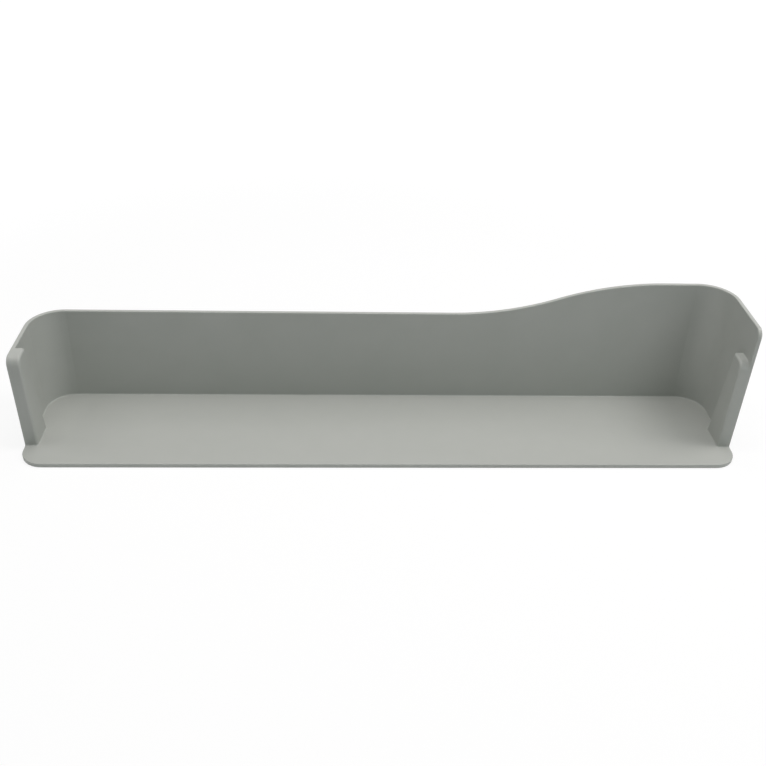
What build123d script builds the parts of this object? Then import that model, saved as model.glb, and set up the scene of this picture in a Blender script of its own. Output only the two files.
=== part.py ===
from build123d import *
import os
from math import radians, sin

# A fridge door shelf, moulded in one piece from grey plastic: a floor, a back wall that is higher
# at one end, two end walls, and a thick rib down the front edge of each end wall.
# X runs along the shelf, with the high end at +X. Y runs from the door, at -Y, into the fridge.
# While it is modelled, X = 0 is mid-length, Y = 0 is the front edge of the end walls, and Z = 0 is
# the underside.

# Driving dimensions, in millimetres and degrees
floor_length = 440.0  # over both end walls, at the underside
floor_thickness = 2.9
wall_thickness = 2.5
bay_depth = 57.0  # from the front edge of the end walls to the inside of the back wall
tongue_reach = 18.5  # how far the floor runs on in front of the end walls
tongue_corner_radius = 14.0
rear_corner_radius = 17.0  # inside, where an end wall turns into the back wall
low_wall_height = 62.2  # above the floor, at the low end
high_wall_height = 84.5  # above the floor, at the high end
swell_inset = 40.0  # from the high end to where the top edge has stopped rising
swell_run = 135.0  # length over which the top edge rises
draft_angle = 1.0  # every wall leans outwards, so that the moulding leaves its mould
rib_thickness = 5.5  # how far a rib stands in from its end wall
rib_top_depth = 12.3  # a rib from front to rear, at its top
rib_foot_depth = 20.0  # a rib from front to rear, at the floor
nose_radius = 5.5  # front top corners of the end walls and ribs
floor_fillet_radius = 0.8  # where walls and ribs rise from the floor
rib_edge_radius = 1.5
edge_radius = 0.6  # every other edge

# Places that follow from them
half_length = floor_length / 2
rear_face = bay_depth + wall_thickness
low_top = floor_thickness + low_wall_height
high_top = floor_thickness + high_wall_height
swell_end = half_length - swell_inset
swell_start = swell_end - swell_run
swell_middle = ((swell_start + swell_end) / 2, (low_top + high_top) / 2)
overshoot = low_top + high_top  # how far the cutting shapes reach past the moulding
lean = sin(radians(draft_angle))  # upward part of the normal of a leaning face
close = 0.01  # places nearer than this count as the same


def leaning_block(half, front, rear, rear_radius):
    """A tall block on the underside, with rounded corners and sides that lean outwards."""
    plan = Pos(0, (front + rear) / 2) * Rectangle(2 * half, rear - front)
    plan = fillet(plan.vertices().group_by(Axis.Y)[-1], rear_radius)
    plan = fillet(plan.vertices().group_by(Axis.Y)[0], tongue_corner_radius)
    return extrude(plan, high_top + overshoot, taper=-draft_angle)


def outside():
    """The tongue, the floor and the outer faces of the walls, as one solid block."""
    return leaning_block(half_length, -tongue_reach, rear_face, rear_corner_radius + wall_thickness)


def space_within(side_thickness):
    """The space between the end walls, open to the front, with sides of the given thickness."""
    front = -tongue_reach - overshoot
    return leaning_block(half_length - side_thickness, front, bay_depth, rear_corner_radius)


def ribs():
    """Both ribs, from the floor to the low wall's top, thinner from front to rear at the top."""
    foot_front = (0, floor_thickness)
    top_front = (0, low_top)
    top_rear = (rib_top_depth, low_top)
    foot_rear = (rib_foot_depth, floor_thickness)
    profile = Plane.YZ * make_face(Polyline(foot_front, top_front, top_rear, foot_rear, close=True))
    across = extrude(profile, half_length + overshoot, both=True)
    return across - space_within(wall_thickness + rib_thickness)


def above_floor(rear):
    """Everything over the floor as far back as the given place."""
    corner = (Align.CENTER, Align.MAX, Align.MIN)
    width = 2 * (half_length + overshoot)
    depth = rear + tongue_reach + overshoot
    return Pos(0, rear, floor_thickness) * Box(width, depth, high_top + overshoot, align=corner)


def above_top_edge():
    """Everything over the top edge, which rises to the high end in two equal arcs."""
    left = -half_length - overshoot
    right = half_length + overshoot
    roof = high_top + overshoot
    outline = [
        Line((left, low_top), (swell_start, low_top)),
        TangentArc((swell_start, low_top), swell_middle, tangent=(1, 0)),
        TangentArc((swell_end, high_top), swell_middle, tangent=(-1, 0)),
        Line((swell_end, high_top), (right, high_top)),
        Polyline((right, high_top), (right, roof), (left, roof), (left, low_top)),
    ]
    return extrude(Plane.XZ * make_face(outline), rear_face + overshoot, both=True)


def leaning_faces(solid, direction):
    """Faces with the draft angle: direction is -1 for the outer ones and 1 for the inner ones."""
    return solid.faces().filter_by(lambda face: abs(face.normal_at().Z - direction * lean) < lean / 2)


def outline_of(faces):
    """The edges that only one of the faces has."""
    edges = ShapeList(edge for face in faces for edge in face.edges())
    return edges.filter_by(lambda edge: sum(edge.is_same(other) for other in edges) == 1)


def round_noses(solid):
    """Round the front top corners of the end walls and ribs."""
    front_edges = solid.edges().filter_by(Axis.X).filter_by_position(Axis.Y, -close, close)
    return fillet(front_edges.filter_by_position(Axis.Z, low_top - close, high_top + close), nose_radius)


def fill_floor_corners(solid):
    """Fillet the edges where walls and ribs rise from the floor."""
    level = solid.edges().filter_by_position(Axis.Z, floor_thickness - close, floor_thickness + close)
    return fillet(level.filter_by_position(Axis.Y, -close, rear_face), floor_fillet_radius)


def round_ribs(solid):
    """Round the edges of the ribs' inner faces, apart from their feet."""
    faces = leaning_faces(solid, 1).filter_by_position(Axis.Y, 0, rib_top_depth)
    edges = ShapeList(edge for face in faces for edge in face.edges())
    return fillet(edges.filter_by_position(Axis.Z, low_top / 4, high_top), rib_edge_radius)


def round_outer_rim(solid):
    """Round the upper outline of the outer faces: the walls' top, their front and the tongue."""
    edges = outline_of(leaning_faces(solid, -1))
    return fillet(edges.filter_by_position(Axis.Z, close, high_top + close), edge_radius)


def round_inner_rim(solid):
    """Round the top outline of the inner faces."""
    edges = outline_of(leaning_faces(solid, 1))
    return fillet(edges.filter_by_position(Axis.Z, low_top - close, high_top + close), edge_radius)


def round_underside(solid):
    """Round the outline of the underside."""
    return fillet(solid.faces().sort_by(Axis.Z)[0].edges(), edge_radius)


bay = (space_within(wall_thickness) & above_floor(rear_face)) - ribs()
shelf = outside() - bay - above_floor(0) - above_top_edge()
shelf = round_noses(shelf)
shelf = round_ribs(shelf)
shelf = fill_floor_corners(shelf)
shelf = round_outer_rim(shelf)
shelf = round_inner_rim(shelf)
shelf = round_underside(shelf)

# The origin goes to the middle of the underside's box
box = shelf.bounding_box()
shelf = Pos(-box.center().X, -box.center().Y, -box.min.Z) * shelf

os.makedirs("parts", exist_ok=True)
export_step(shelf.solid(), "parts/door_shelf.step")
print("door_shelf box, mm:", box.size, "volume, cubic centimetres:", shelf.volume / 1000)
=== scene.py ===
# %% [markdown]
# A fridge door shelf hangs inside the door and keeps bottles from falling out. It is one injection
# moulding, so the solid model already has the whole shape: floor, tongue, walls, ribs and every
# rounded edge. It could be drawn again here as a mesh, but that could only drift away from the
# model, so this lesson keeps the model's own mesh and gives its time to the finish, the stage, the
# light and the camera.

# %% Load the shelf
from math import radians

import bpy
import numpy as np
from mathutils import Matrix, Vector

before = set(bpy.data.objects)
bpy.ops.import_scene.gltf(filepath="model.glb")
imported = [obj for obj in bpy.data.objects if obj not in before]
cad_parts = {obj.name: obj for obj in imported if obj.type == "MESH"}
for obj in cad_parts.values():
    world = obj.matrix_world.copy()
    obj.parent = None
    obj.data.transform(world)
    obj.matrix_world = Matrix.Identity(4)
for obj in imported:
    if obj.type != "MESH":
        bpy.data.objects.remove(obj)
bpy.context.view_layer.update()
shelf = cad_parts["door_shelf"]
MM = 0.001  # metres in a millimetre

# %% [markdown]
# Colours are written as sRGB hex, the way a colour chart gives them. Shaders reckon in linear light,
# where half as much light is half the number, so one function turns the first into the second.

# %% Colours
def linear(hex_colour):
    """sRGB to linear RGBA: v / 12.92 near black, and ((v + 0.055) / 1.055) to the power 2.4 above."""
    srgb = np.array([int(hex_colour[i : i + 2], 16) for i in (1, 3, 5)]) / 255
    rgb = np.where(srgb <= 0.04045, srgb / 12.92, ((srgb + 0.055) / 1.055) ** 2.4)
    return (*rgb.tolist(), 1.0)


print("mid grey in linear light:", round(linear("#808080")[0], 3))

# %% [markdown]
# A material is a small net of nodes. Each node needs the same three things: its own settings, the
# values typed into its sockets, and the wires that come into it. One helper does all three, for any
# kind of node, so that the materials below read as lists of what they are made from.

# %% Nodes
def add_node(tree, kind, settings=None, values=None, links=None):
    """One node. settings are its properties, values and links are sockets by name or number."""
    node = tree.nodes.new(kind)
    for name, value in (settings or {}).items():
        setattr(node, name, value)
    for socket, value in (values or {}).items():
        node.inputs[socket].default_value = value
    for socket, source in (links or {}).items():
        tree.links.new(source, node.inputs[socket])
    return node


def new_material(name):
    """An empty node material: the material and its tree."""
    material = bpy.data.materials.new(name)
    material.use_nodes = True
    material.node_tree.nodes.clear()
    return material, material.node_tree


def per_metre(size_mm):
    """A texture scale that repeats once in the given length."""
    return 1 / (size_mm * MM)


print("a 10 mm pattern repeats", per_metre(10), "times in a metre")

# %% [markdown]
# The shelf is impact polystyrene, the usual plastic for the inside of a fridge, coloured right
# through with a pale grey master batch. It has no paint and no print, so at first sight it is one
# even grey, and a single colour would look like a computer's idea of plastic. What the eye reads as
# moulded plastic is in three faint things. The pigment isn't stirred in perfectly, which leaves soft
# clouds. The melt drags it along the mould, which leaves long streaks. The mould was cut by sparks,
# which leaves a fine dull grain. Each becomes one noise texture in the shelf's own coordinates, at a
# size in millimetres, so the pattern stays fixed to the plastic from any side. A fourth one, broad
# and smooth, is the slight unevenness that a moulded wall has once it has cooled.

# %% Pattern sizes
CLOUD_MM = 22.0  # pigment clouds, across
STREAK_MM = (140.0, 14.0, 14.0)  # flow streaks: long along the shelf, narrow across it
WAVE_MM = 60.0  # slow unevenness of a cooled wall
GRAIN_MM = 1.2  # real spark grain is near 0.1 mm, under a pixel here, so it is drawn coarser
CLOUD_LAYERS = 3.0  # finer layers laid over the first, each half the size of the one before
STREAK_LAYERS = 2.0
WAVE_LAYERS = 0.0
GRAIN_LAYERS = 1.0
STRETCHED = 1.0  # the streaks' scale, because a mapping node has already set their size

plastic, tree = new_material("spark_grained_grey_polystyrene")
place = add_node(tree, "ShaderNodeTexCoord").outputs["Object"]
stretch = add_node(
    tree,
    "ShaderNodeMapping",
    values={"Scale": [per_metre(size) for size in STREAK_MM]},
    links={"Vector": place},
)
patterns = {
    "clouds": (place, per_metre(CLOUD_MM), CLOUD_LAYERS),
    "streaks": (stretch.outputs["Vector"], STRETCHED, STREAK_LAYERS),
    "waves": (place, per_metre(WAVE_MM), WAVE_LAYERS),
    "grain": (place, per_metre(GRAIN_MM), GRAIN_LAYERS),
}
noise = {
    name: add_node(
        tree, "ShaderNodeTexNoise", values={"Scale": scale, "Detail": layers}, links={"Vector": where}
    ).outputs["Fac"]
    for name, (where, scale, layers) in patterns.items()
}
print("patterns in the plastic:", ", ".join(noise))

# %% [markdown]
# The colour is a pale grey with a slight lean to green, and clouds and streaks move it by about one
# hundredth, enough to keep a wide wall from looking printed. A mixing node blends two neighbouring
# greys for the clouds, and a second one lays the streaks over them.

# %% Colour of the plastic
PALE_GREY = "#B7B9B4"
DEEP_GREY = "#B0B3AD"
STREAK_GREY = "#AEB1AC"
STREAK_SHARE = 0.35
FACTOR, COLOUR_A, COLOUR_B, COLOUR_OUT = 0, 6, 7, 2  # a colour mix's sockets share names, so by number

clouded = add_node(
    tree,
    "ShaderNodeMix",
    {"data_type": "RGBA"},
    {COLOUR_A: linear(PALE_GREY), COLOUR_B: linear(DEEP_GREY)},
    {FACTOR: noise["clouds"]},
)
faint = add_node(
    tree, "ShaderNodeMath", {"operation": "MULTIPLY"}, {1: STREAK_SHARE}, {0: noise["streaks"]}
)
streaked = add_node(
    tree,
    "ShaderNodeMix",
    {"data_type": "RGBA"},
    {COLOUR_B: linear(STREAK_GREY)},
    {FACTOR: faint.outputs[0], COLOUR_A: clouded.outputs[COLOUR_OUT]},
)
print("plastic between", PALE_GREY, "and", DEEP_GREY)

# %% [markdown]
# Spark grain scatters the mirror image of a lamp into a broad dull sheen, so roughness sits near one
# half and wanders a little with the clouds. The grain itself and the slow waves are bump: they tilt
# the light by a few degrees and change no outline, and geometry that fine would be millions of faces.
# Polystyrene bends light with an index of 1.59, a constant, so it is typed into the shader itself.

# %% Surface of the plastic
POLYSTYRENE_IOR = 1.59
SLEEKEST, DULLEST = 0.46, 0.56  # roughness
NOISE_LOW, NOISE_HIGH = 0.3, 0.7  # nearly all values of a noise texture lie between these two
WAVE_HEIGHT_MM = 0.06
GRAIN_HEIGHT_MM = 0.03

roughness = add_node(
    tree,
    "ShaderNodeMapRange",
    values={"From Min": NOISE_LOW, "From Max": NOISE_HIGH, "To Min": SLEEKEST, "To Max": DULLEST},
    links={"Value": noise["clouds"]},
)
wavy = add_node(
    tree, "ShaderNodeBump", values={"Distance": WAVE_HEIGHT_MM * MM}, links={"Height": noise["waves"]}
)
grained = add_node(
    tree,
    "ShaderNodeBump",
    values={"Distance": GRAIN_HEIGHT_MM * MM},
    links={"Height": noise["grain"], "Normal": wavy.outputs["Normal"]},
)
shader = add_node(
    tree,
    "ShaderNodeBsdfPrincipled",
    values={"IOR": POLYSTYRENE_IOR},
    links={
        "Base Color": streaked.outputs[COLOUR_OUT],
        "Roughness": roughness.outputs["Result"],
        "Normal": grained.outputs["Normal"],
    },
)
add_node(tree, "ShaderNodeOutputMaterial", links={"Surface": shader.outputs["BSDF"]})
shelf.material_slots[0].material = plastic
print("shelf finish:", plastic.name, "with", len(tree.nodes), "nodes")

# %% [markdown]
# The shelf stands on a sheet of white paper, the plainest stage there is. A disc wide enough to reach
# the horizon needs no join and no curve up at the back. It is a grid of rings and spokes: ring r and
# spoke a give one point each, and the innermost ring shrinks to the centre.

# %% Paper disc
FLOOR_RADIUS = 6.0  # metres
RINGS, SPOKES = 24, 96


def paper_disc(radius, rings, spokes):
    """Points (r cos a, r sin a, 0): r from nought to the radius, a round the full turn."""
    r = np.linspace(0, radius, rings + 1)[1:, None]
    a = np.linspace(0, 2 * np.pi, spokes, endpoint=False)[None, :]
    ring_points = np.stack([r * np.cos(a), r * np.sin(a), 0 * r * a], axis=-1).reshape(-1, 3)
    points = np.vstack([np.zeros((1, 3)), ring_points])
    here = np.arange(spokes)
    after = (here + 1) % spokes
    fan = np.stack([0 * here, 1 + here, 1 + after], axis=-1)
    first = 1 + spokes * np.arange(rings - 1)[:, None]
    quads = np.stack([first + here, first + spokes + here, first + spokes + after, first + after], axis=-1)
    return points, fan.tolist() + quads.reshape(-1, 4).tolist()


points, faces = paper_disc(FLOOR_RADIUS, RINGS, SPOKES)
paper_mesh = bpy.data.meshes.new("paper_floor")
paper_mesh.from_pydata(points.tolist(), [], faces)
paper_floor = bpy.data.objects.new("paper_floor", paper_mesh)
bpy.context.scene.collection.objects.link(paper_floor)
print("paper floor:", len(points), "points,", len(faces), "faces")

# %% [markdown]
# A photographer makes paper read as pure white by giving it lamps of its own. Brighter lamps here
# would wash out the shelf, so the paper glows instead, and only towards the camera and towards
# mirror-like rays. Light that the paper scatters on to the shelf still comes from its dull white.
# Near the shelf part of the dull paper shows through the glow and keeps the soft shadow, and further
# out the glow takes over, so the paper ends in the same white as the air behind it.

# %% Paper finish
PAPER_WHITE = "#F0F0F0"
GLOW_NEAR_SHELF, GLOW_FAR_OUT = 0.82, 1.0  # the share of glow, and the rest is dull paper
SHADOW_REACH = 0.30  # metres from the middle to where the glow starts to take over
SHADOW_END = 0.75  # metres from the middle to where the glow is all that is left
PAPER_GLOW = 1.05  # a strength of 1 is white, and the rest makes up for the dull paper near the shelf


def seen_directly(tree):
    """1 for rays from the camera, and for those that a glossy or clear surface sends on, else 0."""
    path = add_node(tree, "ShaderNodeLightPath")
    straight = path.outputs["Is Camera Ray"]
    for ray in ("Is Glossy Ray", "Is Transmission Ray"):
        either = add_node(
            tree, "ShaderNodeMath", {"operation": "MAXIMUM"}, links={0: straight, 1: path.outputs[ray]}
        )
        straight = either.outputs[0]
    return straight


paper, tree = new_material("matt_white_paper")
place = add_node(tree, "ShaderNodeTexCoord").outputs["Object"]
away = add_node(tree, "ShaderNodeVectorMath", {"operation": "LENGTH"}, links={0: place})
share = add_node(
    tree,
    "ShaderNodeMapRange",
    {"interpolation_type": "SMOOTHSTEP"},
    {
        "From Min": SHADOW_REACH,
        "From Max": SHADOW_END,
        "To Min": GLOW_NEAR_SHELF,
        "To Max": GLOW_FAR_OUT,
    },
    {"Value": away.outputs["Value"]},
)
glow_share = add_node(
    tree,
    "ShaderNodeMath",
    {"operation": "MULTIPLY"},
    links={0: share.outputs["Result"], 1: seen_directly(tree)},
)
dull = add_node(tree, "ShaderNodeBsdfDiffuse", values={"Color": linear(PAPER_WHITE)})
glow = add_node(tree, "ShaderNodeEmission", values={"Strength": PAPER_GLOW})
both = add_node(
    tree,
    "ShaderNodeMixShader",
    links={0: glow_share.outputs[0], 1: dull.outputs["BSDF"], 2: glow.outputs["Emission"]},
)
add_node(tree, "ShaderNodeOutputMaterial", links={"Surface": both.outputs["Shader"]})
paper_mesh.materials.append(paper)
print("paper finish:", paper.name)

# %% [markdown]
# The air round the stage does two jobs in the same way. To the camera and to glossy rays it is white.
# To everything else it is dim, a little stray light in a studio, because the shape of the shelf shows
# best where its inner corners are allowed to fall into shade. Stray daylight is cooler than a lamp,
# so this light has a faint lean to blue-green, and upright walls come out cooler than the floor.

# %% Studio air
AIR_WHITE = "#FFFFFF"  # as the camera sees it, at a strength of 1
STRAY_WHITE = "#EDFFFE"  # as it lights the shelf
STRAY_LIGHT = 0.118  # the strength of that light

world = bpy.data.worlds.new("studio_air")
bpy.context.scene.world = world
world.use_nodes = True
tree = world.node_tree
tree.nodes.clear()
stray = add_node(
    tree, "ShaderNodeBackground", values={"Color": linear(STRAY_WHITE), "Strength": STRAY_LIGHT}
)
white = add_node(tree, "ShaderNodeBackground", values={"Color": linear(AIR_WHITE)})
air = add_node(
    tree,
    "ShaderNodeMixShader",
    links={0: seen_directly(tree), 1: stray.outputs["Background"], 2: white.outputs["Background"]},
)
add_node(tree, "ShaderNodeOutputWorld", links={"Surface": air.outputs["Shader"]})
print("stray light:", STRAY_LIGHT)

# %% [markdown]
# The photograph has the soft shade of a studio table, with more light from the right: the left end
# wall is lighter than the right one, the floor is lightest in front, and the right rear corner is the
# darkest place. One square lamp overhead would light both end walls alike, so a long strip hangs over
# the shelf, moved to the right, with a softbox further out on that side. Weak boxes behind, to the
# left and low in front lift the rims and the faces that look at the camera. The one in front has the
# cool white of the stray light, and the others are a touch warmer. Light adds up, so each lamp was
# rendered alone, and the powers are those whose sum comes nearest to the photograph's shades. The
# floor of the shelf then shows nearly the colour that was written for it.

# %% Lamps
LAMP_WHITE = "#FFFBFB"
LAMPS = {  # place, the point it faces and its two sides in metres, its power in watts and its colour
    "overhead_strip": ((0.25, -0.05, 1.40), (0.25, -0.05, 0.0), (1.9, 0.4), 9.65, LAMP_WHITE),
    "right_box": ((0.85, 0.0, 1.20), (0.0, 0.0, 0.0), (0.6, 0.6), 5.25, LAMP_WHITE),
    "rear_box": ((0.0, 0.6, 1.35), (0.0, 0.0, 0.0), (0.6, 0.6), 3.5, LAMP_WHITE),
    "left_box": ((-0.94, 0.0, 1.04), (0.0, 0.0, 0.0), (0.5, 0.5), 1.85, LAMP_WHITE),
    "front_fill": ((1.0, -1.1, 0.5), (0.0, 0.0, 0.03), (1.0, 1.0), 1.2, STRAY_WHITE),
}


def hang_lamp(name, place, target, sides, watts, colour):
    """A rectangular lamp at a place, turned to face its target."""
    light = bpy.data.lights.new(name, "AREA")
    light.shape = "RECTANGLE"
    light.size, light.size_y = sides
    light.energy = watts
    light.color = linear(colour)[:3]
    lamp = bpy.data.objects.new(name, light)
    lamp.location = place
    lamp.rotation_euler = (Vector(target) - Vector(place)).to_track_quat("-Z", "Y").to_euler()
    bpy.context.scene.collection.objects.link(lamp)
    return lamp


lamps = [hang_lamp(name, *settings) for name, settings in LAMPS.items()]
print("lamps, watts in all:", round(sum(lamp.data.energy for lamp in lamps), 1))

# %% [markdown]
# The camera stands in front of the shelf on the door's side, a little left of the middle and about
# 360 mm up, and looks down at 33 degrees. Its place was found from where the corners of the shelf lie
# in the picture: a lens that is too long or too short makes the back wall too big or too small beside
# the front edge, so corners at several depths fix the lens and the distance together. Turn, tilt and
# roll are written as the three angles that a tripod head has.

# %% Camera
LENS_MM = 44.96
SENSOR_MM = 36.0
CAMERA_MM = (-27.14, -500.21, 360.83)
TURN, TILT, ROLL = -3.057, 32.954, 1.953  # degrees: left (minus is right), down, round the line of sight
LEVEL = 90.0  # an unturned camera looks straight down, so this much brings it level

lens = bpy.data.cameras.new("photo_camera")
lens.lens = LENS_MM
lens.sensor_width = SENSOR_MM
camera = bpy.data.objects.new("photo_camera", lens)
turn = Matrix.Rotation(radians(TURN), 4, "Z")
tilt = Matrix.Rotation(radians(LEVEL - TILT), 4, "X")
roll = Matrix.Rotation(radians(ROLL), 4, "Z")
camera.matrix_world = Matrix.Translation(Vector(CAMERA_MM) * MM) @ turn @ tilt @ roll
bpy.context.scene.collection.objects.link(camera)
bpy.context.scene.camera = camera
bpy.context.scene.view_settings.view_transform = "Standard"
print("camera to the middle of the underside, mm:", round(Vector(CAMERA_MM).length))

# %% [markdown]
# The last cell brings the scene up to date.

# %% Update the scene
bpy.context.view_layer.update()
